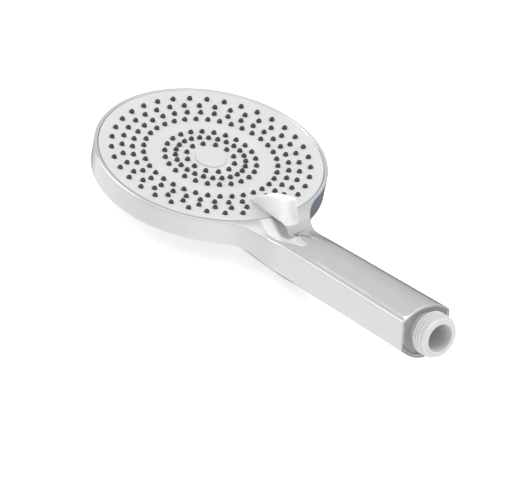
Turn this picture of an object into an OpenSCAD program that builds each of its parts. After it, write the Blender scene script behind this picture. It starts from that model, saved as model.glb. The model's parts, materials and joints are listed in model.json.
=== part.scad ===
// Handheld shower head with a turning spray face.
// The head axis is Z, the spray face points up and the handle runs along +X.
// The origin is the centre of the flat on the head's back.

/* [Head] */
// Outer radius of the rim
head_r = 58.8; // [58:0.1:60]
// Height of the rim above the flat back
rim_z = 24.5; // [24.2:0.1:25.2]
// Height of the upright side wall
side_h = 12.4; // [11:0.1:13]
// Radius of the flat on the back
back_flat_r = 32; // [29:1:34]
// Wall thickness of the plated shell
wall = 2.3; // [2.1:0.1:2.4]

/* [Spray face] */
// Outer radius of the faceplate
face_r = 56.6; // [56.2:0.1:56.7]
// Gap between faceplate and rim
face_gap = 0.25; // [0.2:0.05:0.4]
// Height of the face at its centre
face_centre_z = 21.3; // [21.2:0.1:21.6]
// Thickness of the faceplate
plate_t = 2; // [1.6:0.1:2]
// Thickness of the rubber nozzle mats
mat_t = 1.2; // [1:0.1:1.3]
// How far a nozzle stands above the face
nozzle_h = 1.6; // [1.2:0.05:1.8]
// Radius of a nozzle where it leaves the face
nozzle_r = 1.35; // [1.2:0.05:1.4]
// Radius of a nozzle's flat tip
nozzle_tip_r = 0.85; // [0.75:0.05:0.95]
// Radius of the water hole in a nozzle
orifice_r = 0.45; // [0.3:0.05:0.6]
// Radius of the disc that covers the centre screw
cap_r = 7.8; // [7.4:0.1:8.2]

/* [Selector] */
// Turn from the middle setting to either end, degrees
setting_step = 30; // [28:1:30]
// Where the lever starts on the face, from the head axis
lever_start = 36.7; // [36:0.1:38]
// Reach of the lever's tip from the head axis
lever_reach = 70.4; // [69:0.1:71.5]
// Height of the lever's crest above the rim
lever_rise = 15.2; // [13.6:0.1:16]
// Half width of the lever at its tip
lever_half_w = 3.7; // [3.4:0.1:4.2]

/* [Handle] */
// Angle between the handle and the spray face, degrees
slope = 13.2; // [12.6:0.1:13.8]
// Distance from the head axis to the handle's end
handle_end = 174.3; // [160:0.1:190]
// Half width of the handle where it leaves the neck
grip_start_w = 12.2; // [11.8:0.1:12.8]
// Half width of the handle at its end
grip_end_w = 13.6; // [13.4:0.1:14.4]
// Height of the handle's flat sides
grip_side_h = 14.5; // [14.2:0.1:15]
// Crown of the handle on the spray side
bow_top = 5.2; // [5:0.1:5.6]
// Crown of the handle on the back
bow_back = 6.6; // [6.2:0.1:7]
// Radius of the fillet from head to handle
neck_fillet = 32; // [30:1:34]

/* [Hose connection] */
// Crest radius of the half-inch pipe thread
thread_r = 10.48; // [10.4:0.01:10.5]
// Root radius of the thread
thread_root_r = 9.3; // [9.2:0.05:9.4]
// Thread pitch
thread_pitch = 1.814; // [1.8:0.001:1.82]
// Number of full threads
thread_turns = 4; // [3:1:4]
// Length of the spigot past the handle's end
spigot_len = 10.6; // [10.4:0.1:12]
// Radius of the spigot's bore
inlet_r = 6.7; // [6.5:0.1:6.8]

/* [Hidden] */
$fn = 96;
eps = 0.01;

// Colours
CHROME = [0.83, 0.84, 0.86];
FACE_GREY = [0.87, 0.87, 0.88];
LEVER_WHITE = [0.94, 0.94, 0.93];
NOZZLE_BROWN = [0.25, 0.22, 0.2];
PLATE_GREY = [0.6, 0.61, 0.62];
TUBE_WHITE = [0.93, 0.93, 0.92];
RUBBER = [0.1, 0.1, 0.1];
STEEL = [0.7, 0.7, 0.72];
VALVE_WHITE = [0.88, 0.88, 0.86];

// Nozzle rings: [count, radius, share of a step by which the ring is turned]
INNER_RINGS = [[12, 12.2, 0.5], [24, 17.7, 0], [24, 23.1, 0.5]];
OUTER_RINGS = [[35, 33.8, 0.5], [35, 39.3, 0], [35, 44.6, 0], [35, 50, 0.5]];
ALL_RINGS = concat(INNER_RINGS, OUTER_RINGS);

// The face is flat to dish_start and rises outward from there
dish_start = 21.3;
dish_k = 0.00254;
function dish(r) = face_centre_z + dish_k * pow(max(0, r - dish_start), 2);

// The dish is made of cones that meet midway between nozzle rings
last_ring = len(ALL_RINGS) - 1;
crease_r = concat([0], [for (i = [1 : last_ring - 1]) (ALL_RINGS[i][1] + ALL_RINGS[i + 1][1]) / 2],
                  [(ALL_RINGS[last_ring][1] + face_r) / 2, face_r]);
dish_table = [for (r = crease_r) [r, dish(r)]];
function face_z(r) = lookup(r, dish_table);

// A band of the dish between two radii, from one depth below the face to another
function dish_band(r0, r1, top, bottom) =
    let (mid = [for (r = crease_r) if (r > r0 && r < r1) r],
         rs = concat([r0], mid, [r1]),
         n = len(rs))
    concat([for (r = rs) [r, face_z(r) - top]],
           [for (i = [n - 1 : -1 : 0]) [rs[i], face_z(rs[i]) - bottom]]);

// Half width of the lever at distance x from the head axis
lever_start_w = 1.6;
function lever_w(x) =
    lever_start_w + (lever_half_w - lever_start_w) * (x - lever_start) / (lever_reach - lever_start);

// Nozzles that the lever would cover are left out
nozzle_margin = 0.8;
function under_lever(p) = p.x > lever_start && abs(p.y) < lever_w(p.x) + nozzle_r + nozzle_margin;
function ring_points(ring) =
    [for (i = [0 : ring[0] - 1])
        let (a = 360 * (i + ring[2]) / ring[0], p = [ring[1] * cos(a), ring[1] * sin(a)])
        if (!under_lever(p)) p];

// Heights inside the head
floor_z = wall;
base_top = 11.6;
rotor_z = 12.2;
rotor_t = 2;
rotor_top = rotor_z + rotor_t;
skirt_t = 2;
divider_r0 = 25.5;
divider_r1 = 27.5;
hub_top = 17.9;
spindle_r = 5;
seal_groove_z = 14.5;
seal_groove_r = 4;
seal_groove_h = 1.5;
spindle_top = 18;
hub_clearance = 0.05;
washer_t = 0.6;
screw_r = 1.45;
screw_hole_r = 1.5;
valve_r = 25.5;
port_orbit = 16;
port_angle = 30;
pocket_r = 3.75;
pocket_z = 8.7;
seal_z = 10.3;
detent_orbit = 22.3;
ball_r = 1.5;
ball_travel = 0.6;
ball_fit = 0.06;
ball_top = rotor_z - 0.05;
ball_z = ball_top - ball_r;
detent_pocket_z = 5.2;
stop_pin_r = 1.2;
base_screw_orbit = 29.8;
base_screw_angles = [40, 140, 220, 320];
boss_top = 7;
ear_t = 2.5;
cap_hole_r = 6.2;

// Where the neck starts inside the head
neck_inner_x = 34;
// The neck starts a little inside the head's wall, so that the two cross at a clear angle
neck_sink = 0.3;
fillet_y = grip_start_w + neck_fillet;
fillet_x = sqrt(pow(head_r + neck_fillet, 2) - pow(fillet_y, 2));
tangent_x = fillet_x * head_r / (head_r + neck_fillet);
tangent_y = fillet_y * head_r / (head_r + neck_fillet);
function ease(a, b, x) = let (t = min(1, max(0, (x - a) / (b - a)))) t * t * (3 - 2 * t);
function mix(a, b, t) = a + (b - a) * t;

function half_w(x) =
    x < tangent_x ? tangent_y - neck_sink :
    x < fillet_x ? fillet_y - sqrt(pow(neck_fillet, 2) - pow(fillet_x - x, 2))
                   - neck_sink * (1 - ease(tangent_x, fillet_x, x)) :
    mix(grip_start_w, grip_end_w, (x - fillet_x) / (handle_end - fillet_x));

// Upper and lower edges of the flat sides
grip_edge_drop = 3.3;
grip_edge_x = 63.8;
function edge_line(x) = rim_z - grip_edge_drop + tan(slope) * (x - grip_edge_x);
neck_top_z = rim_z - 0.7;
neck_back_z = 9.6;
neck_crown = 0.4;
keel_start_z = 0.4;
function edge_top(x) = mix(neck_top_z, edge_line(x), ease(53.2, 68.1, x));
function edge_back(x) = mix(neck_back_z, edge_line(x) - grip_side_h, ease(53.2, 68.1, x));
function crown_top(x) = mix(neck_crown, bow_top, ease(55.3, 106.4, x));
function keel(x) = mix(keel_start_z, edge_line(x) - grip_side_h - bow_back, ease(59.6, 91.5, x));
function crown_back(x) = edge_back(x) - keel(x);
function tilt(x) = slope * ease(61.7, 95.7, x);

// One closed section of the neck or handle, inset evenly from the outside
arc_steps = 12;
function section(x, inset) =
    let (w = half_w(x) - inset,
         mid = (edge_top(x) + edge_back(x)) / 2,
         up = edge_top(x) - mid,
         ct = crown_top(x),
         cb = crown_back(x),
         ring = concat(
             [for (i = [0 : arc_steps]) let (y = w * (1 - 2 * i / arc_steps))
                 [y, up + ct * (1 - pow(y / half_w(x), 2)) - inset]],
             [for (i = [0 : arc_steps]) let (y = w * (2 * i / arc_steps - 1))
                 [y, -up - cb * (1 - pow(y / half_w(x), 2)) + inset]]),
         a = tilt(x))
    [for (p = ring) [x - p[1] * sin(a), p[0], mid + p[1] * cos(a)]];

module loft(stations, inset) {
    rings = [for (x = stations) section(x, inset)];
    n = len(rings[0]);
    m = len(rings);
    points = [for (r = rings) for (p = r) p];
    sides = [for (j = [0 : m - 2]) for (i = [0 : n - 1]) let (k = (i + 1) % n)
        each [[j * n + i, (j + 1) * n + k, j * n + k], [j * n + i, (j + 1) * n + i, (j + 1) * n + k]]];
    first = [[for (i = [0 : n - 1]) i]];
    last = [[for (i = [n - 1 : -1 : 0]) (m - 1) * n + i]];
    polyhedron(points, concat(first, sides, last));
}

// Places children on the handle's axis, with +Z outward and 0 at the handle's end
axis_rise = 0.3;
function axis_z(x) = edge_line(x) - grip_side_h / 2 + axis_rise;
module on_handle_axis() {
    translate([handle_end, 0, axis_z(handle_end)])
        rotate([0, 90 - slope, 0])
            children();
}

neck_steps = 12;
grip_steps = 8;
neck_arc = [for (i = [0 : neck_steps - 1]) mix(tangent_x, fillet_x, i / neck_steps)];
function grip_run(x) = [for (i = [0 : grip_steps]) mix(fillet_x, x, i / grip_steps)];
neck_stations = concat([neck_inner_x], neck_arc, grip_run(handle_end));
plate_recess = 1.3;
end_plate_t = 1.8;
lip = 1.4;
hollow_x = 38;
ledge_overlap = 0.5;
plate_back_x = handle_end - plate_recess - end_plate_t;
hollow_stations = concat([hollow_x], neck_arc, grip_run(plate_back_x + ledge_overlap));
recess_stations = [plate_back_x, handle_end + 2];

// The back rises from its flat to the foot of the side wall, ever steeper
back_power = 1.45;
back_steps = 12;
function back_z(r) = (rim_z - side_h) * pow(max(0, r - back_flat_r) / (head_r - back_flat_r), back_power);
function back_curve(out_r, lift) =
    [for (i = [0 : back_steps]) let (r = mix(back_flat_r, out_r, i / back_steps)) [r, back_z(r) + lift]];

module head_outside() {
    edge = 0.3;
    rotate_extrude()
        polygon(concat([[0, 0]], back_curve(head_r, 0),
                       [[head_r, rim_z - edge], [head_r - edge, rim_z], [0, rim_z]]));
}

module head_inside() {
    inner_r = face_r + face_gap;
    rotate_extrude()
        polygon(concat([[0, floor_z]], back_curve(inner_r, floor_z),
                       [[inner_r, rim_z + 1], [0, rim_z + 1]]));
}

module at_base_screws() {
    for (a = base_screw_angles)
        rotate(a)
            translate([base_screw_orbit, 0, 0])
                children();
}

module body_shell() {
    boss_r = 3.2;
    boss_sink = 0.5;
    color(CHROME) {
        difference() {
            union() {
                head_outside();
                loft(neck_stations, 0);
            }
            head_inside();
            loft(hollow_stations, wall);
            loft(recess_stations, lip);
        }
        difference() {
            at_base_screws()
                translate([0, 0, floor_z - boss_sink])
                    cylinder(h = boss_top - floor_z + boss_sink, r = boss_r);
            at_base_screws()
                translate([0, 0, floor_z + boss_sink])
                    cylinder(h = boss_top, r = screw_hole_r);
        }
    }
}

// Grey plate that closes the handle around the spigot
module end_plate() {
    plate_fit = 0.05;
    hole_fit = 0.1;
    plate_x = handle_end - plate_recess;
    color(PLATE_GREY)
        difference() {
            loft([plate_back_x + plate_fit, plate_x], lip + plate_fit);
            on_handle_axis()
                translate([0, 0, -10])
                    cylinder(h = 20, r = collar_r + hole_fit);
        }
}

// Waterway in the handle, with the threaded spigot at its outer end
limiter_r = 5.9;
limiter_top = -6;
limiter_t = 3;
collar_r = 8;
tube_bore_r = 4;
tube_r = 5.3;
tube_inner_x = 77;
tube_len = (handle_end - tube_inner_x) / cos(slope);
groove_at = 3;
groove_w = 1.6;
groove_r = 4.55;
module water_tube() {
    thread_start = 2.4;
    tooth_w = thread_pitch * 0.75;
    crest_w = thread_pitch * 0.25;
    pilot_r = 9.25;
    pilot_gap = 0.3;
    chamfer = 0.3;
    nose = 0.3;
    collar_start = limiter_top - limiter_t - 2;
    thread_end = thread_start + (thread_turns - 1) * thread_pitch + tooth_w;
    teeth = [for (i = [0 : thread_turns - 1]) let (z = thread_start + i * thread_pitch)
        each [[thread_root_r, z], [thread_r, z + (tooth_w - crest_w) / 2],
              [thread_r, z + (tooth_w + crest_w) / 2], [thread_root_r, z + tooth_w]]];
    color(TUBE_WHITE)
        on_handle_axis()
            rotate_extrude()
                polygon(concat(
                    [[tube_bore_r, -tube_len], [tube_r - nose, -tube_len],
                     [tube_r, -tube_len + nose],
                     [tube_r, -tube_len + groove_at], [groove_r, -tube_len + groove_at],
                     [groove_r, -tube_len + groove_at + groove_w],
                     [tube_r, -tube_len + groove_at + groove_w],
                     [tube_r, collar_start + tube_r - collar_r], [collar_r, collar_start],
                     [collar_r, thread_start]],
                    teeth,
                    [[pilot_r, thread_end + pilot_gap], [pilot_r, spigot_len - chamfer],
                     [pilot_r - chamfer, spigot_len], [inlet_r, spigot_len],
                     [inlet_r, limiter_top], [limiter_r, limiter_top],
                     [limiter_r, limiter_top - limiter_t], [tube_bore_r, limiter_top - limiter_t]]));
}

module ring_of_wire(major, minor) {
    rotate_extrude()
        translate([major, 0])
            circle(r = minor, $fn = 32);
}

module tube_o_ring() {
    wire_r = 0.39;
    color(RUBBER)
        on_handle_axis()
            translate([0, 0, -tube_len + groove_at + groove_w / 2])
                ring_of_wire(groove_r + wire_r + eps, wire_r);
}

// Plastic disc with a ring of small holes that limits the flow
module flow_limiter() {
    limiter_fit = 0.05;
    hole_r = 0.6;
    hole_orbit = 3.2;
    hole_count = 8;
    color(PLATE_GREY)
        on_handle_axis()
            translate([0, 0, limiter_top - limiter_t])
                difference() {
                    cylinder(h = limiter_t - limiter_fit, r = limiter_r - limiter_fit);
                    for (i = [0 : hole_count - 1])
                        rotate(i * 360 / hole_count)
                            translate([hole_orbit, 0, -1])
                                cylinder(h = limiter_t + 2, r = hole_r, $fn = 24);
                }
}

module at_ports() {
    for (a = [180 - port_angle, 180 + port_angle])
        rotate(a)
            translate([port_orbit, 0, 0])
                children();
}

// A solid with the given side outline, centred on the symmetry plane
module slab(outline, width) {
    translate([0, width / 2, 0])
        rotate([90, 0, 0])
            linear_extrude(width)
                polygon(outline);
}

// Fixed valve body: inlet socket, duct, two ports and the spindle that the face turns on
socket_r = 6.4;
socket_start_x = 76;
socket_len = 9;
module valve_base() {
    chamber_r0 = 9.5;
    chamber_r1 = 19.4;
    chamber_z = 4.6;
    chamber_roof = 0.6;
    duct_w = 13;
    duct_wall = 1.5;
    duct_z = 4.6;
    duct_x0 = 21;
    duct_bend_x = 55;
    duct_roof_x = 57.4;
    ear_w = 7;
    ear_root = 4;
    ear_end = 3.5;
    pin_top = rotor_z + 0.9;
    port_hole_r = 2.4;
    socket_back = -(handle_end - socket_start_x) / cos(slope);
    socket_z = axis_z(socket_start_x);
    sx = socket_start_x;
    duct = [[duct_x0, duct_z], [duct_bend_x, duct_z], [sx + 2, socket_z - 5.3], [sx + 1.5, socket_z - 0.5],
            [sx - 0.5, socket_z + 5.1], [duct_roof_x, base_top], [duct_x0, base_top]];
    duct_hollow = [[chamber_r1 - 4, duct_z + duct_wall], [duct_bend_x - 0.8, duct_z + duct_wall],
                   [sx - 1, socket_z - 3.9], [sx + 0.6, socket_z - 2.5], [sx + 0.6, socket_z + 2.5],
                   [sx - 1.5, socket_z + 2.9], [duct_roof_x - 1, base_top - duct_wall - 0.6],
                   [chamber_r1 - 4, base_top - 2 * duct_wall - 0.6]];
    color(VALVE_WHITE)
        difference() {
            union() {
                translate([0, 0, floor_z])
                    cylinder(h = base_top - floor_z, r = valve_r);
                translate([0, 0, floor_z])
                    cylinder(h = spindle_top - floor_z, r = spindle_r);
                slab(duct, duct_w);
                on_handle_axis()
                    translate([0, 0, socket_back])
                        cylinder(h = socket_len, r = socket_r);
                for (a = base_screw_angles)
                    rotate(a)
                        translate([valve_r - ear_root, -ear_w / 2, boss_top])
                            cube([base_screw_orbit + ear_end - valve_r + ear_root, ear_w, ear_t]);
                rotate(270)
                    translate([detent_orbit, 0, floor_z])
                        cylinder(h = pin_top - floor_z, r = stop_pin_r);
            }
            translate([0, 0, chamber_z])
                rotate_extrude()
                    translate([chamber_r0, 0])
                        square([chamber_r1 - chamber_r0, pocket_z - chamber_roof - chamber_z]);
            slab(duct_hollow, duct_w - 2 * duct_wall);
            on_handle_axis()
                translate([0, 0, -tube_len - 0.3])
                    cylinder(h = 20, r = tube_r + 0.05);
            on_handle_axis()
                translate([0, 0, socket_back - 1])
                    cylinder(h = 20, r = tube_bore_r);
            at_ports() {
                translate([0, 0, chamber_z + 1])
                    cylinder(h = 10, r = port_hole_r);
                translate([0, 0, pocket_z])
                    cylinder(h = 10, r = pocket_r);
            }
            rotate(90)
                translate([detent_orbit, 0, detent_pocket_z])
                    cylinder(h = 10, r = ball_r + ball_fit);
            translate([0, 0, 8])
                cylinder(h = 11, r = screw_hole_r);
            at_base_screws()
                cylinder(h = 20, r = screw_hole_r + 0.1);
            translate([0, 0, seal_groove_z])
                rotate_extrude()
                    translate([seal_groove_r, 0])
                        square([2, seal_groove_h]);
        }
}

// A pan-head screw that points down, with its head's underside at height 0
module pan_screw(shank, pan_r, pan_h) {
    slot_w = 0.8;
    slot_reach = pan_r * 0.6;
    rounding = 0.5;
    difference() {
        union() {
            translate([0, 0, -shank])
                cylinder(h = shank + eps, r = screw_r);
            cylinder(h = pan_h * 0.6, r = pan_r);
            translate([0, 0, pan_h * 0.6])
                cylinder(h = pan_h * 0.4, r1 = pan_r, r2 = pan_r - rounding);
        }
        for (a = [0, 90])
            rotate(a)
                translate([-slot_reach, -slot_w / 2, pan_h * 0.4])
                    cube([2 * slot_reach, slot_w, pan_h]);
    }
}

module base_screws() {
    base_shank = 5.8;
    color(STEEL)
        at_base_screws()
            translate([0, 0, boss_top + ear_t])
                pan_screw(base_shank, 2.8, 1.7);
}

module centre_screw() {
    centre_shank = 9;
    color(STEEL)
        translate([0, 0, spindle_top + washer_t])
            pan_screw(centre_shank, 3.2, 1.5);
}

module screw_washer() {
    color(STEEL)
        translate([0, 0, spindle_top])
            difference() {
                cylinder(h = washer_t, r = cap_hole_r - 0.3);
                translate([0, 0, -1])
                    cylinder(h = 3, r = screw_hole_r + 0.1);
            }
}

module port_seals() {
    color(RUBBER)
        at_ports()
            translate([0, 0, seal_z])
                difference() {
                    cylinder(h = ball_top - seal_z, r = pocket_r - 0.1);
                    translate([0, 0, -1])
                        cylinder(h = 5, r = 2);
                }
}

// A coil spring standing on height 0, swept as one helix
coil_sides = 6;
coil_steps = 16;
module coil(height, coil_r, wire_r, turns) {
    steps = coil_steps * turns;
    rise = (height - 2 * wire_r) / steps;
    points = [for (j = [0 : steps]) for (i = [0 : coil_sides - 1])
        let (a = 360 * j / coil_steps,
             b = 360 * i / coil_sides + 30,
             r = coil_r + wire_r * cos(b))
        [r * cos(a), r * sin(a), wire_r + j * rise + wire_r * sin(b)]];
    sides = [for (j = [0 : steps - 1]) for (i = [0 : coil_sides - 1])
        let (k = (i + 1) % coil_sides, lower = j * coil_sides, upper = lower + coil_sides)
        each [[lower + i, lower + k, upper + k], [lower + i, upper + k, upper + i]]];
    first = [[for (i = [coil_sides - 1 : -1 : 0]) i]];
    last = [[for (i = [0 : coil_sides - 1]) steps * coil_sides + i]];
    polyhedron(points, concat(first, sides, last));
}

module port_springs() {
    color(STEEL)
        at_ports()
            translate([0, 0, pocket_z])
                coil(seal_z - pocket_z, 3, 0.25, 2);
}

module detent_spring() {
    color(STEEL)
        rotate(90)
            translate([detent_orbit, 0, detent_pocket_z])
                coil(ball_z - ball_r - detent_pocket_z, 1.1, 0.2, 4);
}

module detent_ball() {
    color(STEEL)
        rotate(90)
            translate([detent_orbit, 0, ball_z])
                sphere(r = ball_r);
}

module spindle_seal() {
    wire_r = 0.48;
    color(RUBBER)
        translate([0, 0, seal_groove_z + seal_groove_h / 2])
            ring_of_wire(seal_groove_r + wire_r + 2 * eps, wire_r);
}

// Sits in a slot in the face and overhangs the rim
lever_lift = 0.03;
foot_w = 1.4;
foot_x0 = 40;
foot_x1 = 46;
foot_depth = 1.2;
module lever_foot(extra) {
    translate([foot_x0, -foot_w, face_z(foot_x0) - foot_depth])
        cube([foot_x1 - foot_x0, 2 * foot_w, foot_depth + extra]);
}

module faceplate() {
    color(FACE_GREY)
        union() {
            difference() {
                rotate_extrude()
                    polygon(dish_band(cap_hole_r, face_r, 0, plate_t));
                for (ring = ALL_RINGS)
                    for (p = ring_points(ring))
                        translate([p.x, p.y, face_centre_z - 5])
                            cylinder(h = 12, r = nozzle_r + 0.08, $fn = 24);
                lever_foot(5);
            }
            rotate_extrude()
                polygon([[face_r - skirt_t, rotor_z + 1], [face_r, rotor_z + 1],
                         [face_r, face_z(face_r) - plate_t / 2],
                         [face_r - skirt_t, face_z(face_r - skirt_t) - plate_t / 2]]);
        }
}

module selector_lever() {
    foot_end_x = 56.2;
    under_z = rim_z + 0.6;
    under_x = 59;
    tip_z = rim_z + 3.5;
    crest_x = 65.3;
    crest_z = rim_z + lever_rise;
    block_w = 12;
    scoop_r = 3.4;
    scoop_depth = 0.9;
    tip_lean = atan2(lever_reach - crest_x, crest_z - tip_z);
    on_face = [for (r = concat([lever_start], [for (c = crease_r) if (c > lever_start && c < foot_end_x) c],
                               [foot_end_x])) [r, face_z(r) + lever_lift]];
    outline = concat(on_face, [[foot_end_x, under_z], [under_x, under_z], [lever_reach, tip_z],
                               [crest_x, crest_z], [58.7, crest_z - 2.1], [48.4, crest_z - 7.5]]);
    color(LEVER_WHITE) {
        difference() {
            intersection() {
                slab(outline, block_w);
                linear_extrude(rim_z + 2 * lever_rise)
                    polygon([[lever_start, -lever_start_w], [lever_reach + 1, -lever_half_w],
                             [lever_reach + 1, lever_half_w], [lever_start, lever_start_w]]);
            }
            translate([lever_reach, 0, tip_z])
                rotate([0, -tip_lean, 0])
                    translate([scoop_r - scoop_depth, 0, -5])
                        cylinder(h = 30, r = scoop_r);
        }
        lever_foot(face_z(foot_x1) - face_z(foot_x0) + 0.5);
    }
}

module nozzle(p) {
    translate([p.x, p.y, 0]) {
        z = face_z(norm(p));
        translate([0, 0, z - plate_t - mat_t / 2])
            cylinder(h = plate_t + mat_t / 2, r = nozzle_r, $fn = 24);
        translate([0, 0, z])
            cylinder(h = nozzle_h, r1 = nozzle_r, r2 = nozzle_tip_r, $fn = 24);
    }
}

// Rubber sheet behind the face with its nozzles moulded on
mat_gap = 0.01;
module nozzle_mat(rings, r0, r1) {
    color(NOZZLE_BROWN)
        difference() {
            union() {
                rotate_extrude()
                    polygon(dish_band(r0, r1, plate_t + mat_gap, plate_t + mat_t));
                for (ring = rings)
                    for (p = ring_points(ring))
                        nozzle(p);
            }
            for (ring = rings)
                for (p = ring_points(ring))
                    translate([p.x, p.y, face_centre_z - 6])
                        cylinder(h = 14, r = orifice_r, $fn = 16);
        }
}

module nozzle_mat_outer() {
    nozzle_mat(OUTER_RINGS, divider_r1 + 2, face_r - skirt_t - 0.5);
}

module nozzle_mat_inner() {
    nozzle_mat(INNER_RINGS, 9.4, divider_r0 - 0.1);
}

// A slot along an arc, for a port
module arc_slot(a0, a1, orbit, r, h) {
    rotate(a0)
        rotate_extrude(angle = a1 - a0)
            translate([orbit - r, 0])
                square([2 * r, h]);
}

// Welded behind the faceplate; splits the water between inner and outer nozzles
module spray_backplate() {
    hub_r = 8;
    plate_fit = 0.02;
    tunnel_top = 17.6;
    tunnel_a = 180 + port_angle + setting_step / 2;
    tunnel_x = 10.5;
    tunnel_w = 17;
    tunnel_wall = 1.5;
    port_r = 2.2;
    port_spare = 2;
    groove_half = setting_step + 4.5;
    groove_spare = 0.4;
    cut_z = rotor_z - 1;
    color(VALVE_WHITE)
        difference() {
            union() {
                translate([0, 0, rotor_z])
                    cylinder(h = rotor_t, r = face_r - skirt_t - plate_fit);
                translate([0, 0, rotor_z])
                    cylinder(h = hub_top - rotor_z, r = hub_r);
                rotate_extrude()
                    polygon([[divider_r0, rotor_z + 1], [divider_r1, rotor_z + 1],
                             [divider_r1, face_z(divider_r1) - plate_t],
                             [divider_r0, face_z(divider_r0) - plate_t]]);
                rotate(tunnel_a)
                    translate([tunnel_x, -tunnel_w / 2, rotor_z + 1])
                        cube([divider_r1 - 0.5 - tunnel_x, tunnel_w, tunnel_top - rotor_z - 1]);
            }
            translate([0, 0, cut_z])
                cylinder(h = 10, r = spindle_r + hub_clearance);
            rotate(tunnel_a)
                translate([tunnel_x + tunnel_wall, tunnel_wall - tunnel_w / 2, rotor_top - 0.5])
                    cube([20, tunnel_w - 2 * tunnel_wall, 2.8]);
            translate([0, 0, cut_z]) {
                arc_slot(180 - port_angle - setting_step - port_spare, 180 - port_angle + port_spare,
                         port_orbit, port_r, 4);
                arc_slot(180 + port_angle - port_spare, 180 + port_angle + setting_step + port_spare,
                         port_orbit, port_r, 2.6);
                arc_slot(270 - groove_half, 270 + groove_half, detent_orbit, stop_pin_r + groove_spare, 2.1);
            }
            for (s = [-1, 0, 1])
                rotate(90 + s * setting_step)
                    translate([detent_orbit, 0, cut_z])
                        cylinder(h = 1 + ball_travel + 0.2, r = ball_r - 0.1);
        }
}

module centre_cap() {
    cap_t = 0.45;
    cup_r = 5.2;
    cup_fit = 0.03;
    stem_bottom = face_centre_z - 1.5;
    color(FACE_GREY)
        rotate_extrude()
            polygon([[0, face_centre_z], [cup_r, face_centre_z - eps], [cup_r, stem_bottom],
                     [cap_hole_r - cup_fit, stem_bottom], [cap_hole_r - cup_fit, face_centre_z],
                     [cap_r, face_centre_z], [cap_r - 0.15, face_centre_z + cap_t],
                     [0, face_centre_z + cap_t]]);
}

body_shell();
end_plate();
water_tube();
tube_o_ring();
flow_limiter();
valve_base();
base_screws();
port_seals();
port_springs();
spindle_seal();
centre_screw();
screw_washer();
detent_spring();
detent_ball();
faceplate();
selector_lever();
nozzle_mat_outer();
nozzle_mat_inner();
spray_backplate();
centre_cap();
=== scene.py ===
import json
import math

import bmesh
import bpy
from mathutils import Matrix, Vector


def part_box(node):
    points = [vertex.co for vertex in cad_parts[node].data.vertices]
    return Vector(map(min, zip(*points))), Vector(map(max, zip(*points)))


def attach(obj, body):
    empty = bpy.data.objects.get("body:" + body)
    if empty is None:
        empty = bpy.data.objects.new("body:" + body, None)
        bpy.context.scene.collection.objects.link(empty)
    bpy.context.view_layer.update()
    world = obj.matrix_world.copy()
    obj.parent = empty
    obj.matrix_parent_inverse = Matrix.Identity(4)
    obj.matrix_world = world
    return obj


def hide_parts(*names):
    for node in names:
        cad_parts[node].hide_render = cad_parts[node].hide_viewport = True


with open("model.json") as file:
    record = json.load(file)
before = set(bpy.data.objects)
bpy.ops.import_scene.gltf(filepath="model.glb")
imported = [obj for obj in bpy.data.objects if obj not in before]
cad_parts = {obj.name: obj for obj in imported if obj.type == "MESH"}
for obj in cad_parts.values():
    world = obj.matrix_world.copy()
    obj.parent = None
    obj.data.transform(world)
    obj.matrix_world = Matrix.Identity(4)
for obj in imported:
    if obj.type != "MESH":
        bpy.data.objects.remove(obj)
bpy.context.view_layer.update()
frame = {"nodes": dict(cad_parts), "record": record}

# Handheld shower head. The part's sizes are in millimetres and become metres in build().
# The floor and the lights are in metres.
# Head axis Z, spray face up, handle along +X, origin at the centre of the flat back.
MM = 0.001
SHELL_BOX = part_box("body_shell")
FACE_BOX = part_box("faceplate")
MOUNTS = {m["name"]: m for m in frame["record"]["mounts"]}

# Head
HEAD_R = -SHELL_BOX[0][0] / MM
FACE_R = FACE_BOX[1][0] / MM
RIM_Z = 24.5
OPENING_R = FACE_R + 0.25
SIDE_FOOT_Z = 12.1
BACK_FLAT_R = 32.0
BACK_POWER = 1.45
EDGE_R = 0.5
RIM_BEVEL = 0.4
CAVITY_FLOOR_Z = 2.3

# Spray face
FACE_CENTRE_Z = 21.3
DISH_START = 21.3
DISH_K = 0.00254
CAP_R = 7.8
CAP_T = 0.42
NOZZLE_R = 1.35
NOZZLE_H = 1.6
LEVER_MARGIN = 0.8
# Each ring of nozzles is its count, its radius and its turn in steps of the ring
INNER_RINGS = [(12, 12.2, 0.5), (24, 17.7, 0), (24, 23.1, 0.5)]
OUTER_RINGS = [(35, 33.8, 0.5), (35, 39.3, 0), (35, 44.6, 0), (35, 50, 0.5)]

# Lever
LEVER_START = 36.7
LEVER_REACH = 70.4
LEVER_START_W = 1.6
LEVER_TIP_W = 3.7

# Handle
SLOPE = math.asin(MOUNTS["inlet_bore"]["axis"][2])
HANDLE_END = 174.3
GRIP_START_W = 12.2
GRIP_END_W = 13.6
GRIP_SIDE_H = 14.5
BOW_TOP = 5.2
BOW_BACK = 6.6
NECK_FILLET = 32.0
LIP = 1.4
PLATE_RECESS = 3.2

# Spigot
THREAD_R = MOUNTS["hose_thread"]["dims"]["r_mm"]
THREAD_ROOT_R = 9.3
THREAD_PITCH = 1.814
THREAD_START = 2.4
THREAD_STOP = 9.2
COLLAR_R = 8.0
PILOT_R = 9.25
SPIGOT_LEN = 10.6
INLET_R = MOUNTS["inlet_bore"]["dims"]["r_mm"]
INLET_LEN = MOUNTS["inlet_bore"]["dims"]["length_mm"]
TUBE_R = 5.3
TUBE_BORE_R = 4.0
TUBE_INNER_X = 77.0


def ease(a, b, x):
    t = min(1.0, max(0.0, (x - a) / (b - a)))
    return t * t * (3 - 2 * t)


def mix(a, b, t):
    return a + (b - a) * t


def dish(r):
    return FACE_CENTRE_Z + DISH_K * max(0.0, r - DISH_START) ** 2


# ---------------------------------------------------------------- meshes

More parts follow.
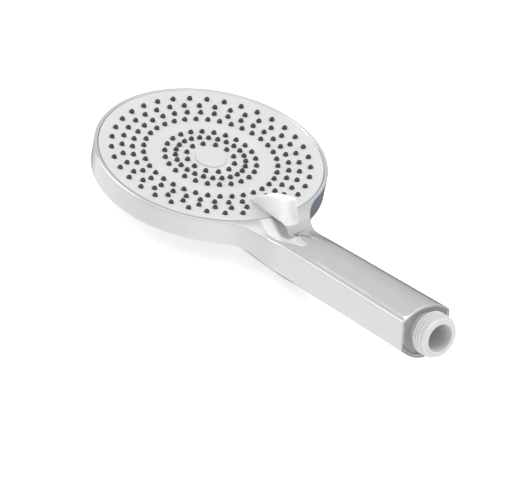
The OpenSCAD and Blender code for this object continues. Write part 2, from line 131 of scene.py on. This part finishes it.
def build(name, points, faces, body, replaces=(), subdivide=0):
    """Makes a smooth mesh piece from millimetre points and lets it ride on a body."""
    mesh = bpy.data.meshes.new(name)
    mesh.from_pydata([Vector(p) * MM for p in points], [], faces)
    shape = bmesh.new()
    shape.from_mesh(mesh)
    bmesh.ops.recalc_face_normals(shape, faces=shape.faces)
    shape.to_mesh(mesh)
    shape.free()
    mesh.polygons.foreach_set("use_smooth", [True] * len(mesh.polygons))
    piece = bpy.data.objects.new(name, mesh)
    bpy.context.scene.collection.objects.link(piece)
    if subdivide:
        modifier = piece.modifiers.new("smooth", "SUBSURF")
        modifier.levels = subdivide
        modifier.render_levels = subdivide
    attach(piece, body)
    if replaces:
        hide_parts(*replaces)
    return piece


def bridge(loop_a, loop_b):
    """Quads between two closed vertex loops of the same length."""
    n = len(loop_a)
    return [(loop_a[i], loop_a[(i + 1) % n], loop_b[(i + 1) % n], loop_b[i]) for i in range(n)]


def lathe(profile, segments, ring=False):
    """Points and faces of a profile of (radius, height) turned about Z.
    A radius of 0 makes a pole, and a ring's profile closes on itself."""
    points = []
    loops = []
    for r, z in profile:
        first = len(points)
        if r == 0:
            points.append((0, 0, z))
            loops.append([first] * segments)
            continue
        for i in range(segments):
            a = 2 * math.pi * i / segments
            points.append((r * math.cos(a), r * math.sin(a), z))
        loops.append(list(range(first, first + segments)))
    faces = []
    for low, high in zip(loops, loops[1:] + (loops[:1] if ring else [])):
        faces.extend(tuple(dict.fromkeys(quad)) for quad in bridge(low, high))
    return points, faces


# ---------------------------------------------------------------- shell

FILLET_Y = GRIP_START_W + NECK_FILLET
FILLET_X = math.sqrt((HEAD_R + NECK_FILLET) ** 2 - FILLET_Y ** 2)
TANGENT_X = FILLET_X * HEAD_R / (HEAD_R + NECK_FILLET)
TANGENT_Y = FILLET_Y * HEAD_R / (HEAD_R + NECK_FILLET)
# The handle's upper edge lies this far under the rim at EDGE_X and climbs at the slope
EDGE_DROP = 3.3
EDGE_X = 63.8
TAPER_START = 0.15
NECK_BACK_Z = 9.6
NECK_BOW = 0.4
NECK_KEEL_Z = 0.4
NECK_BACK_POWER = 2.2
# Where along X each part of the neck changes from the head's shape to the handle's
BACK_EDGE_BLEND = (53.2, 68.1)
BOW_BLEND = (55.3, 106.4)
KEEL_BLEND = (59.6, 91.5)
LEAN_BLEND = (61.7, 95.7)
# Radii where the rim and the foot of the side wall start to leave the head
RIM_LEAVES_R = HEAD_R - 1.2
FOOT_LEAVES_R = HEAD_R - 1.0


def half_w(x):
    """Half the width seen from above, from the fillets to the handle's end."""
    if x < TANGENT_X:
        return TANGENT_Y
    if x < FILLET_X:
        return FILLET_Y - math.sqrt(NECK_FILLET ** 2 - (FILLET_X - x) ** 2)
    t = (x - FILLET_X) / (HANDLE_END - FILLET_X)
    t = t * t / (2 * TAPER_START) if t < TAPER_START else t - TAPER_START / 2
    return mix(GRIP_START_W, GRIP_END_W, t / (1 - TAPER_START / 2))


def edge_line(x):
    return RIM_Z - EDGE_DROP + math.tan(SLOPE) * (x - EDGE_X)


def edge_top(x):
    return edge_line(max(x, EDGE_X))


def edge_back(x):
    return mix(NECK_BACK_Z, edge_line(x) - GRIP_SIDE_H, ease(*BACK_EDGE_BLEND, x))


def crown_top(x):
    return mix(NECK_BOW, BOW_TOP, ease(*BOW_BLEND, x))


def keel(x):
    return mix(NECK_KEEL_Z, edge_line(x) - GRIP_SIDE_H - BOW_BACK, ease(*KEEL_BLEND, x))


def top_z(x, y):
    return edge_top(x) + crown_top(x) * (1 - (y / half_w(x)) ** 2)


def under_z(x, y):
    return edge_back(x) - (edge_back(x) - keel(x)) * (1 - (y / half_w(x)) ** 2)


def neck_share(x, y, start_r):
    """0 on the head, 1 where the handle starts, and soft between."""
    return ease(start_r, FILLET_X, math.hypot(x, y)) if x > 0 else 0.0


def face_side_z(x, y):
    share = neck_share(x, y, RIM_LEAVES_R)
    return mix(RIM_Z, top_z(x, y), share) if share else RIM_Z


def foot_z(x, y):
    share = neck_share(x, y, FOOT_LEAVES_R)
    return mix(SIDE_FOOT_Z, under_z(x, y), share) if share else SIDE_FOOT_Z


def lean(p):
    """Leans the sections over until they stand square to the handle."""
    x, y, z = p
    angle = SLOPE * ease(*LEAN_BLEND, x)
    middle = (edge_top(x) + edge_back(x)) / 2
    rise = z - middle
    return (x - rise * math.sin(angle), y, middle + rise * math.cos(angle))


def outline():
    """Points of the side wall from above, each with its outward normal: round the head,
    along one fillet, across the neck where the handle starts, and back along the other."""
    head_steps = 150
    fillet_steps = 26
    across_steps = 18
    start = math.atan2(TANGENT_Y, TANGENT_X)
    turn = 2 * math.pi - 2 * start
    head = []
    for i in range(head_steps + 1):
        a = start + turn * i / head_steps
        head.append((HEAD_R * math.cos(a), HEAD_R * math.sin(a), math.cos(a), math.sin(a)))
    first = math.atan2(TANGENT_Y - FILLET_Y, TANGENT_X - FILLET_X)
    fillet = []
    for i in range(1, fillet_steps + 1):
        a = mix(first, -math.pi / 2, i / fillet_steps)
        fillet.append((FILLET_X + NECK_FILLET * math.cos(a), FILLET_Y + NECK_FILLET * math.sin(a),
                       -math.cos(a), -math.sin(a)))
    lower = [(x, -y, nx, -ny) for x, y, nx, ny in fillet]
    reach = GRIP_START_W - EDGE_R
    across = [(FILLET_X, -reach * (1 - 2 * i / across_steps), 0.0, 0.0) for i in range(1, across_steps)]
    corner_a = len(head) + len(lower) - 1
    corner_b = corner_a + len(across) + 1
    return head + lower + across + list(reversed(fillet)), corner_a, corner_b


def quarter(steps):
    """Share of the rounding left inward and share of the drop, along a rounded edge."""
    angles = [math.pi / 2 * i / steps for i in range(1, steps + 1)]
    return [(1 - math.sin(a), 1 - math.cos(a)) for a in angles]


ROUND_STEPS = 5
SIDE_SHARES = [0.2, 0.4, 0.6, 0.8]
BACK_RINGS = (22, 10)
# The cavity and the rim's inner bevel, as radius and height
CAVITY = [(12, CAVITY_FLOOR_Z), (30, CAVITY_FLOOR_Z), (42, 5.2), (50, 9.5), (OPENING_R, 12.9),
          (OPENING_R, 19), (OPENING_R, RIM_Z - RIM_BEVEL), (OPENING_R + 0.06, RIM_Z - 0.2),
          (OPENING_R + 0.18, RIM_Z - 0.06)]
# The handle's rounded end and the wall behind it, as distance back and depth inward
END_STEPS = [(0.3, 0.02), (0.12, 0.1), (0.03, 0.22), (0, 0.36), (0, LIP - 0.3), (0.03, LIP - 0.15),
             (0.12, LIP - 0.04), (0.3, LIP), (PLATE_RECESS, LIP)]


def shell():
    """The plated head and handle: rings of points over the outline, then the handle's
    sections grown from the open end. Hidden parts of the handle are left solid."""
    columns, corner_a, corner_b = outline()
    n = len(columns)
    on_line = set(range(corner_a + 1, corner_b))
    edge = [j for j in range(n) if j not in on_line]
    points = []

    def ring(place, keep=range(n)):
        loop = {}
        for j in keep:
            loop[j] = len(points)
            points.append(lean(place(*columns[j])))
        return loop

    def inset(x, y, nx, ny, depth=EDGE_R):
        return x - nx * depth, y - ny * depth

    def polar(radius, z):
        def place(x, y, nx, ny):
            qx, qy = inset(x, y, nx, ny)
            d = math.hypot(qx, qy)
            return (radius * qx / d, radius * qy / d, z)
        return place

    def top_row(t):
        start_r = OPENING_R + RIM_BEVEL

        def place(x, y, nx, ny):
            qx, qy = inset(x, y, nx, ny)
            d = math.hypot(qx, qy)
            k = mix(start_r / d, 1.0, t)
            return (qx * k, qy * k, face_side_z(qx * k, qy * k))
        return place

    def edges(x, y, nx, ny):
        qx, qy = inset(x, y, nx, ny)
        return face_side_z(qx, qy), foot_z(qx, qy)

    def top_round(left, drop):
        def place(x, y, nx, ny):
            high, low = edges(x, y, nx, ny)
            px, py = inset(x, y, nx, ny, EDGE_R * left)
            return (px, py, high - EDGE_R * drop)
        return place

    def wall_row(t):
        def place(x, y, nx, ny):
            high, low = edges(x, y, nx, ny)
            return (x, y, mix(high - EDGE_R, low + EDGE_R, t))
        return place

    def foot_round(left, drop):
        def place(x, y, nx, ny):
            high, low = edges(x, y, nx, ny)
            px, py = inset(x, y, nx, ny, EDGE_R * left)
            return (px, py, low + EDGE_R * drop)
        return place

    def back_row(t):
        """From the foot of the wall, at 1, in to the edge of the flat, at 0."""
        def place(x, y, nx, ny):
            qx, qy = inset(x, y, nx, ny)
            d = math.hypot(qx, qy)
            low = foot_z(qx, qy)
            power = mix(BACK_POWER, NECK_BACK_POWER, ease(HEAD_R, FILLET_X, d))
            k = mix(BACK_FLAT_R / d, 1.0, t)
            return (qx * k, qy * k, low * t ** power)
        return place

    top = [ring(polar(r, z)) for r, z in CAVITY]
    top_steps = 26
    top += [ring(top_row(i / top_steps)) for i in range(top_steps + 1)]
    wall = [ring(top_round(*q), edge) for q in quarter(ROUND_STEPS)]
    wall += [ring(wall_row(t), edge) for t in SIDE_SHARES]
    wall += [ring(foot_round(*q), edge) for q in reversed(quarter(ROUND_STEPS))]
    back_steps = 18
    back = [ring(back_row(1 - i / back_steps)) for i in range(back_steps + 1)]
    back += [ring(polar(r, 0.0)) for r in BACK_RINGS]

    faces = []

    def strip(a, b):
        for j in range(n):
            k = (j + 1) % n
            faces.append((a[j], a[k], b[k], b[j]))

    for a, b in zip(top, top[1:]):
        strip(a, b)
    rows = [top[-1]] + wall + [back[0]]
    for a, b in zip(rows, rows[1:]):
        for j in range(n):
            k = (j + 1) % n
            if j not in on_line and k not in on_line:
                faces.append((a[j], a[k], b[k], b[j]))
    for a, b in zip(back, back[1:]):
        strip(a, b)
    faces.append(tuple(reversed([top[0][j] for j in range(n)])))
    faces.append(tuple(back[-1][j] for j in range(n)))

    # The open section where the handle starts, as one loop, and the handle grown from it
    across = list(range(corner_a, corner_b + 1))
    start = [top[-1][j] for j in across]
    start += [r[corner_b] for r in wall]
    start += [back[0][j] for j in reversed(across)]
    start += [r[corner_a] for r in reversed(wall)]
    shares = [(columns[j][1] - columns[j][3] * EDGE_R) / (GRIP_START_W - EDGE_R) for j in across]

    def section(x, depth):
        """The handle's outline at x, drawn in by a depth all round."""
        bow_mean = 4
        w = half_w(x)
        q = w - EDGE_R
        shrink = (w - depth) / w
        high = top_z(x, q)
        low = under_z(x, q)
        wall_points = [(q + EDGE_R * (1 - left), high - EDGE_R * drop)
                       for left, drop in quarter(ROUND_STEPS)]
        wall_points += [(w, mix(high - EDGE_R, low + EDGE_R, t)) for t in SIDE_SHARES]
        wall_points += [(q + EDGE_R * (1 - left), low + EDGE_R * drop)
                        for left, drop in reversed(quarter(ROUND_STEPS))]
        loop = [(s * q, top_z(x, s * q)) for s in shares]
        loop += wall_points
        loop += [(s * q, under_z(x, s * q)) for s in reversed(shares)]
        loop += [(-y, z) for y, z in reversed(wall_points)]
        middle = (high + low) / 2
        tall = (high - low) / 2 + bow_mean
        return [(x, y * shrink, middle + (z - middle) * (tall - depth) / tall) for y, z in loop]

    grip_steps = 40
    last_full_x = HANDLE_END - 0.5
    stations = [(mix(FILLET_X, last_full_x, i / grip_steps), 0.0) for i in range(1, grip_steps + 1)]
    stations += [(HANDLE_END - back_by, depth) for back_by, depth in END_STEPS]
    previous = start
    for x, depth in stations:
        loop = []
        for p in section(x, depth):
            loop.append(len(points))
            points.append(lean(p))
        faces.extend(bridge(previous, loop))
        previous = loop
    faces.append(tuple(previous))
    return build("chrome_shell", points, faces, "body", ["body_shell"])


# ---------------------------------------------------------------- spray face

def face_disc():
    """The dished face and its skirt, with a hole under the centre disc for the screw."""
    skirt_foot = 13.2
    skirt_t = 2
    edge = 0.25
    edge_steps = 4
    back_z = 19.3
    web_r = 28
    rows = 48
    cap_overlap = 0.4
    hole_r = CAP_R - cap_overlap
    radii = [mix(hole_r, FACE_R - edge, i / rows) for i in range(rows + 1)]
    profile = [(r, dish(r)) for r in radii]
    top = dish(FACE_R)
    profile += [(FACE_R - edge * inward, top - edge * drop) for inward, drop in quarter(edge_steps)]
    profile += [(FACE_R, skirt_foot), (FACE_R - skirt_t, skirt_foot), (FACE_R - skirt_t, top - skirt_t),
                (web_r, back_z), (hole_r, back_z)]
    points, faces = lathe(profile, 192, ring=True)
    return build("face_disc", points, faces, "face", ["faceplate"])


def centre_disc():
    top = dish(0) + CAP_T
    foot = dish(0) - 0.1
    profile = [(0, top), (4, top), (CAP_R - 0.5, top), (CAP_R - 0.25, top - 0.03),
               (CAP_R - 0.08, top - 0.12), (CAP_R, top - 0.28), (CAP_R, foot), (0, foot)]
    points, faces = lathe(profile, 96)
    return build("centre_disc", points, faces, "face", ["centre_cap"])


def lever_half_width(x):
    return mix(LEVER_START_W, LEVER_TIP_W, (x - LEVER_START) / (LEVER_REACH - LEVER_START))


def nozzle_places(rings):
    """Nozzle centres from above, without those under the lever."""
    margin = NOZZLE_R + LEVER_MARGIN
    places = []
    for count, radius, turned in rings:
        for i in range(count):
            a = 2 * math.pi * (i + turned) / count
            x = radius * math.cos(a)
            y = radius * math.sin(a)
            hidden = x > LEVER_START and abs(y) < lever_half_width(x) + margin
            if not hidden:
                places.append((x, y))
    return places


def nozzles(name, rings, node):
    """Soft domes with a dimpled water hole, all in one piece."""
    foot = -0.5
    profile = [(0, foot), (NOZZLE_R, foot), (NOZZLE_R, 0.1), (1.33, 0.42), (1.26, 0.76), (1.14, 1.07),
               (0.97, 1.32), (0.78, 1.49), (0.6, 1.57), (0.5, NOZZLE_H), (0.43, 1.57), (0.38, 1.4),
               (0.36, 0.7), (0, 0.7)]
    unit_points, unit_faces = lathe(profile, 20)
    points = []
    faces = []
    for x, y in nozzle_places(rings):
        base = len(points)
        z = dish(math.hypot(x, y))
        points.extend((x + p[0], y + p[1], z + p[2]) for p in unit_points)
        faces.extend(tuple(base + i for i in f) for f in unit_faces)
    return build(name, points, faces, "face", [node])


def lever():
    """A fin whose outer end is scooped for the thumb. The upper and lower lines are
    X and height above the rim. Where the lower line has no height it lies on the face."""
    shoulder = 0.86
    side_heights = (0.82, 0.4, 0.08)
    top = [(36.9, -2.7), (38.5, -1.3), (42.6, 2.4), (48.4, 7.7), (53.7, 10.8), (58.7, 13.1), (63.1, 14.7),
           (64.5, 15.1), (65.2, 14.8), (66.3, 12.8), (67.7, 9.7), (69.0, 6.6), (70.0, 4.3), (70.3, 3.7)]
    low = [(37.4, None), (39.4, None), (43.6, None), (48.4, None), (53.7, None), (57.9, 0.75), (60.9, 1.35),
           (62.3, 1.7), (63.4, 2.0), (64.7, 2.3), (66.4, 2.75), (68.1, 3.1), (69.4, 3.4), (70.0, 3.5)]
    scoop = [0] * 8 + [0.35, 1.0, 1.35, 1.2, 0.7, 0.2]
    scoop_droop = 0.4
    corner_drop = 0.12
    sink = 0.15
    across = [-1.0, -shoulder, -0.45, 0.0, 0.45, shoulder, 1.0]
    points = []
    loops = []
    for i, ((tx, tz), (lx, lz)) in enumerate(zip(top, low)):
        low_z = dish(lx) - sink - RIM_Z if lz is None else lz
        loop = []
        for share in across:
            w = lever_half_width(tx)
            hollow = scoop[i] * max(0.0, 1 - (share / shoulder) ** 2)
            drop = corner_drop if abs(share) == 1 else 0.0
            loop.append((tx - hollow, share * w, RIM_Z + tz - drop - scoop_droop * hollow))
        for height in side_heights:
            x = mix(lx, tx, height)
            loop.append((x, lever_half_width(x), RIM_Z + mix(low_z, tz, height)))
        for share in reversed(across[1:-1]):
            loop.append((lx, share * lever_half_width(lx), RIM_Z + low_z))
        for height in reversed(side_heights):
            x = mix(lx, tx, height)
            loop.append((x, -lever_half_width(x), RIM_Z + mix(low_z, tz, height)))
        loops.append(list(range(len(points), len(points) + len(loop))))
        points.extend(loop)
    faces = []
    for a, b in zip(loops, loops[1:]):
        faces.extend(bridge(a, b))
    faces.append(tuple(reversed(loops[0])))
    faces.append(tuple(loops[-1]))
    return build("lever_fin", points, faces, "face", ["selector_lever"], 3)


# ---------------------------------------------------------------- handle's end

def on_axis(points):
    """Places points given on the handle's axis, with 0 at the handle's end and +Z outward."""
    along = Vector(MOUNTS["inlet_bore"]["axis"])
    middle = Vector(MOUNTS["inlet_bore"]["pos_m"]) / MM
    origin = middle - along * (SPIGOT_LEN - INLET_LEN / 2)
    side = Vector((0, 1, 0))
    turn = Matrix((side.cross(along), side, along)).transposed()
    return [turn @ Vector(p) + origin for p in points]


def tooth(phase):
    """Rounded pipe-thread profile over one pitch, from 0 at the root to 1 at the crest."""
    ramp = 0.34
    crest = 0.14
    return 1 - ease(crest / 2, crest / 2 + ramp, abs(phase - 0.5))


def spigot():
    """The waterway tube, its collar, the right-handed thread and the bore, as one closed
    skin. Heights are along the handle's axis, from the handle's end."""
    segments = 144
    thread_rows = 110
    pocket_r = 5.9
    pocket_depth = 3
    points = []
    loops = []

    def add(radius_of, height):
        loops.append(list(range(len(points), len(points) + segments)))
        for i in range(segments):
            a = 2 * math.pi * i / segments
            r = radius_of(i / segments)
            points.append((r * math.cos(a), r * math.sin(a), height))

    tube_len = (HANDLE_END - TUBE_INNER_X) / math.cos(SLOPE)
    inlet_floor = SPIGOT_LEN - INLET_LEN
    for r, z in [(TUBE_BORE_R, -tube_len), (TUBE_R - 0.3, -tube_len), (TUBE_R, 0.3 - tube_len),
                 (TUBE_R, -13.7), (COLLAR_R, -11), (COLLAR_R, -1), (COLLAR_R, 2.0), (COLLAR_R + 0.2, 2.15),
                 (THREAD_ROOT_R - 0.2, 2.25)]:
        add(lambda t, r=r: r, z)
    crest_clearance = 0.03
    tooth_h = THREAD_R - crest_clearance - THREAD_ROOT_R
    for k in range(thread_rows + 1):
        height = mix(THREAD_START, THREAD_STOP + 0.2, k / thread_rows)
        fade_in = ease(THREAD_START, THREAD_START + 0.5, height)
        fade = fade_in * (1 - ease(THREAD_STOP - 0.6, THREAD_STOP + 0.1, height))
        add(lambda t: THREAD_ROOT_R + tooth_h * fade * tooth((height / THREAD_PITCH - t) % 1), height)
    for r, z in [(PILOT_R, 9.5), (PILOT_R, 10.25), (PILOT_R - 0.08, 10.45), (PILOT_R - 0.3, SPIGOT_LEN),
                 (INLET_R + 0.35, SPIGOT_LEN), (INLET_R + 0.08, 10.52), (INLET_R, 10.3), (INLET_R, 5),
                 (INLET_R, -0.5), (INLET_R, inlet_floor + 0.02), (pocket_r, inlet_floor),
                 (pocket_r, inlet_floor - pocket_depth), (TUBE_BORE_R, inlet_floor - pocket_depth)]:
        add(lambda t, r=r: r, z)
    faces = []
    for a, b in zip(loops, loops[1:] + loops[:1]):
        faces.extend(bridge(a, b))
    return build("threaded_spigot", on_axis(points), faces, "body", ["water_tube"])


# ---------------------------------------------------------------- materials

def material(name):
    made = bpy.data.materials.new(name)
    made.use_nodes = True
    return made, made.node_tree.nodes, made.node_tree.links, made.node_tree.nodes["Principled BSDF"]


def noise(nodes, links, scale, detail=3.0):
    where = nodes.new("ShaderNodeTexCoord")
    tex = nodes.new("ShaderNodeTexNoise")
    tex.inputs["Scale"].default_value = scale
    tex.inputs["Detail"].default_value = detail
    links.new(where.outputs["Object"], tex.inputs["Vector"])
    return tex


def spread(nodes, links, source, low, high):
    """Maps a noise value to a narrow range."""
    span = nodes.new("ShaderNodeMapRange")
    span.inputs["To Min"].default_value = low
    span.inputs["To Max"].default_value = high
    links.new(source, span.inputs["Value"])
    return span.outputs["Result"]


def tint(nodes, links, source, dark, light):
    ramp = nodes.new("ShaderNodeValToRGB")
    ramp.color_ramp.elements[0].position = 0.3
    ramp.color_ramp.elements[1].position = 0.7
    ramp.color_ramp.elements[0].color = (*dark, 1)
    ramp.color_ramp.elements[1].color = (*light, 1)
    links.new(source, ramp.inputs["Fac"])
    return ramp.outputs["Color"]


def surface(name, dark, light, rough, grain, bump, colour_scale=60, metallic=0.0, coat=0.0, soft=0.0):
    """A procedural finish: mottled colour, uneven roughness and a fine bump."""
    made, nodes, links, shader = material(name)
    mottle = noise(nodes, links, colour_scale)
    links.new(tint(nodes, links, mottle.outputs["Fac"], dark, light), shader.inputs["Base Color"])
    fine = noise(nodes, links, grain, 4.0)
    uneven = spread(nodes, links, fine.outputs["Fac"], rough * 0.85, rough * 1.15)
    links.new(uneven, shader.inputs["Roughness"])
    height = nodes.new("ShaderNodeBump")
    height.inputs["Strength"].default_value = bump
    height.inputs["Distance"].default_value = 0.00005
    links.new(fine.outputs["Fac"], height.inputs["Height"])
    links.new(height.outputs["Normal"], shader.inputs["Normal"])
    shader.inputs["Metallic"].default_value = metallic
    shader.inputs["Coat Weight"].default_value = coat
    if soft:
        shader.inputs["Subsurface Weight"].default_value = soft
        shader.inputs["Subsurface Radius"].default_value = (0.0012, 0.0011, 0.0011)
        shader.inputs["Subsurface Scale"].default_value = 1.0
    return made


def finishes():
    return {
        "chrome": surface("chrome_plating", (0.85, 0.855, 0.865), (0.88, 0.882, 0.89), 0.08, 400, 0.02,
                          metallic=1.0),
        "face": surface("face_plastic", (0.545, 0.55, 0.565), (0.575, 0.58, 0.59), 0.42, 3000, 0.15),
        "lever": surface("lever_plastic", (0.84, 0.84, 0.84), (0.87, 0.87, 0.87), 0.3, 2500, 0.08, soft=0.2),
        "rubber": surface("nozzle_rubber", (0.045, 0.038, 0.034), (0.075, 0.065, 0.058), 0.5, 4000, 0.25,
                          colour_scale=900),
        "plate": surface("end_plate_plastic", (0.34, 0.345, 0.36), (0.4, 0.405, 0.42), 0.4, 3000, 0.2),
        "spigot": surface("spigot_plastic", (0.62, 0.605, 0.61), (0.67, 0.655, 0.66), 0.32, 1200, 0.05,
                          soft=0.25),
        "steel": surface("stainless", (0.5, 0.5, 0.52), (0.62, 0.62, 0.64), 0.28, 1500, 0.1, metallic=1.0),
        "natural": surface("natural_plastic", (0.72, 0.71, 0.68), (0.78, 0.77, 0.74), 0.45, 2500, 0.1),
        "seal": surface("black_rubber", (0.015, 0.015, 0.016), (0.03, 0.03, 0.032), 0.6, 3000, 0.2),
    }


CAD_FINISH = {
    "end_plate": "plate", "flow_limiter": "plate", "valve_base": "natural", "spray_backplate": "natural",
    "tube_o_ring": "seal", "port_seals": "seal", "spindle_seal": "seal", "base_screws": "steel",
    "port_springs": "steel", "centre_screw": "steel", "screw_washer": "steel", "detent_spring": "steel",
    "detent_ball": "steel",
}


# ---------------------------------------------------------------- studio

def floor():
    """A pale floor that glows a little so it stays white. It is left out of reflections,
    so that the plating mirrors the studio's surroundings and doesn't turn white."""
    size = 6.0
    mesh = bpy.data.meshes.new("floor")
    corners = [(-size, -size, 0), (size, -size, 0), (size, size, 0), (-size, size, 0)]
    mesh.from_pydata(corners, [], [(0, 1, 2, 3)])
    made = bpy.data.objects.new("floor", mesh)
    made.location.z = -0.0003
    bpy.context.scene.collection.objects.link(made)
    finish, nodes, links, shader = material("pale_floor")
    mottle = noise(nodes, links, 3)
    links.new(tint(nodes, links, mottle.outputs["Fac"], (0.93, 0.93, 0.93), (0.95, 0.95, 0.95)),
              shader.inputs["Base Color"])
    shader.inputs["Roughness"].default_value = 0.9
    shader.inputs["Specular IOR Level"].default_value = 0.1
    shader.inputs["Emission Color"].default_value = (1, 1, 1, 1)
    shader.inputs["Emission Strength"].default_value = 0.45
    mesh.materials.append(finish)
    made.visible_glossy = False


def area_light(name, place, aim, size, power):
    data = bpy.data.lights.new(name, "AREA")
    data.shape = "RECTANGLE"
    data.size = size[0]
    data.size_y = size[1]
    data.energy = power
    lamp = bpy.data.objects.new(name, data)
    lamp.location = place
    lamp.rotation_mode = "QUATERNION"
    lamp.rotation_quaternion = (Vector(aim) - Vector(place)).to_track_quat("-Z", "Y")
    bpy.context.scene.collection.objects.link(lamp)
    return lamp


# Grey of the surroundings: below the horizon along Y, and above it by height
LOW_BAND = [(-1.0, (0.7, 0.7, 0.71)), (-0.75, (0.8, 0.8, 0.81)), (-0.45, (0.86, 0.86, 0.865)),
            (-0.1, (0.9, 0.9, 0.91)), (0.3, (0.5, 0.515, 0.55)), (0.6, (0.19, 0.205, 0.24))]
HIGH_BAND = [(-0.1, (0.52, 0.52, 0.525)), (0.2, (0.6, 0.6, 0.605)), (0.6, (0.68, 0.68, 0.68)),
             (0.85, (1.0, 1.0, 1.0))]


def world_light():
    """Soft surroundings, dark only low at the back, where the plating mirrors them."""
    world = bpy.data.worlds.new("studio")
    bpy.context.scene.world = world
    world.use_nodes = True
    nodes = world.node_tree.nodes
    links = world.node_tree.links
    backdrop = nodes["Background"]
    where = nodes.new("ShaderNodeTexCoord")
    split = nodes.new("ShaderNodeSeparateXYZ")
    links.new(where.outputs["Generated"], split.inputs["Vector"])

    def band(axis, stops):
        span = nodes.new("ShaderNodeMapRange")
        span.inputs["From Min"].default_value = -1
        span.inputs["From Max"].default_value = 1
        links.new(split.outputs[axis], span.inputs["Value"])
        ramp = nodes.new("ShaderNodeValToRGB")
        ramp.color_ramp.interpolation = "EASE"
        while len(ramp.color_ramp.elements) < len(stops):
            ramp.color_ramp.elements.new(0.5)
        for element, (place, colour) in zip(ramp.color_ramp.elements, stops):
            element.position = (place + 1) / 2
            element.color = (*colour, 1)
        links.new(span.outputs["Result"], ramp.inputs["Fac"])
        return ramp.outputs["Color"]

    low = band("Y", LOW_BAND)
    high = band("Z", HIGH_BAND)
    share = band("Z", [(-0.5, (0, 0, 0)), (-0.05, (1, 1, 1))])
    blend = nodes.new("ShaderNodeMix")
    blend.data_type = "RGBA"
    links.new(share, blend.inputs["Factor"])
    links.new(low, blend.inputs[6])
    links.new(high, blend.inputs[7])
    links.new(blend.outputs[2], backdrop.inputs["Color"])
    backdrop.inputs["Strength"].default_value = 1.0


def studio():
    world_light()
    middle = (0.05, 0, 0.02)
    key = area_light("key", (0.1, 0.7, 1.1), middle, (1.3, 1.1), 11)
    # Left out of reflections, or the sloping neck mirrors it as a white patch
    key.visible_glossy = False
    area_light("side", (-0.9, -0.7, 0.9), middle, (1.0, 1.0), 7)
    bpy.context.scene.view_settings.view_transform = "Standard"


def camera():
    azimuth = math.radians(49.07)
    elevation = math.radians(34.89)
    roll = math.radians(11.52)
    distance = 1364.3 * MM
    aim = Vector((70.53, -18.0, 21.31)) * MM
    back = Vector((math.sin(azimuth) * math.cos(elevation), -math.cos(azimuth) * math.cos(elevation),
                   math.sin(elevation)))
    level = Vector((0, 0, 1)).cross(back).normalized()
    up = back.cross(level)
    right = level * math.cos(roll) + up * math.sin(roll)
    up = back.cross(right)
    data = bpy.data.cameras.new("camera")
    data.lens = 197.7
    data.sensor_width = 36
    data.clip_end = 50
    eye = bpy.data.objects.new("camera", data)
    turn = Matrix((right, up, back)).transposed().to_4x4()
    eye.matrix_world = Matrix.Translation(aim + back * distance) @ turn
    bpy.context.scene.collection.objects.link(eye)
    bpy.context.scene.camera = eye


# ---------------------------------------------------------------- assembly

camera()
studio()
floor()
looks = finishes()
made_pieces = {
    "chrome": [shell()],
    "face": [face_disc(), centre_disc()],
    "rubber": [nozzles("nozzles_outer", OUTER_RINGS, "nozzle_mat_outer"),
               nozzles("nozzles_inner", INNER_RINGS, "nozzle_mat_inner")],
    "lever": [lever()],
    "spigot": [spigot()],
}
for look, objects in made_pieces.items():
    for piece in objects:
        piece.data.materials.append(looks[look])
for node, look in CAD_FINISH.items():
    mesh = frame["nodes"][node].data
    for index in range(max(1, len(mesh.materials))):
        if index < len(mesh.materials):
            mesh.materials[index] = looks[look]
        else:
            mesh.materials.append(looks[look])
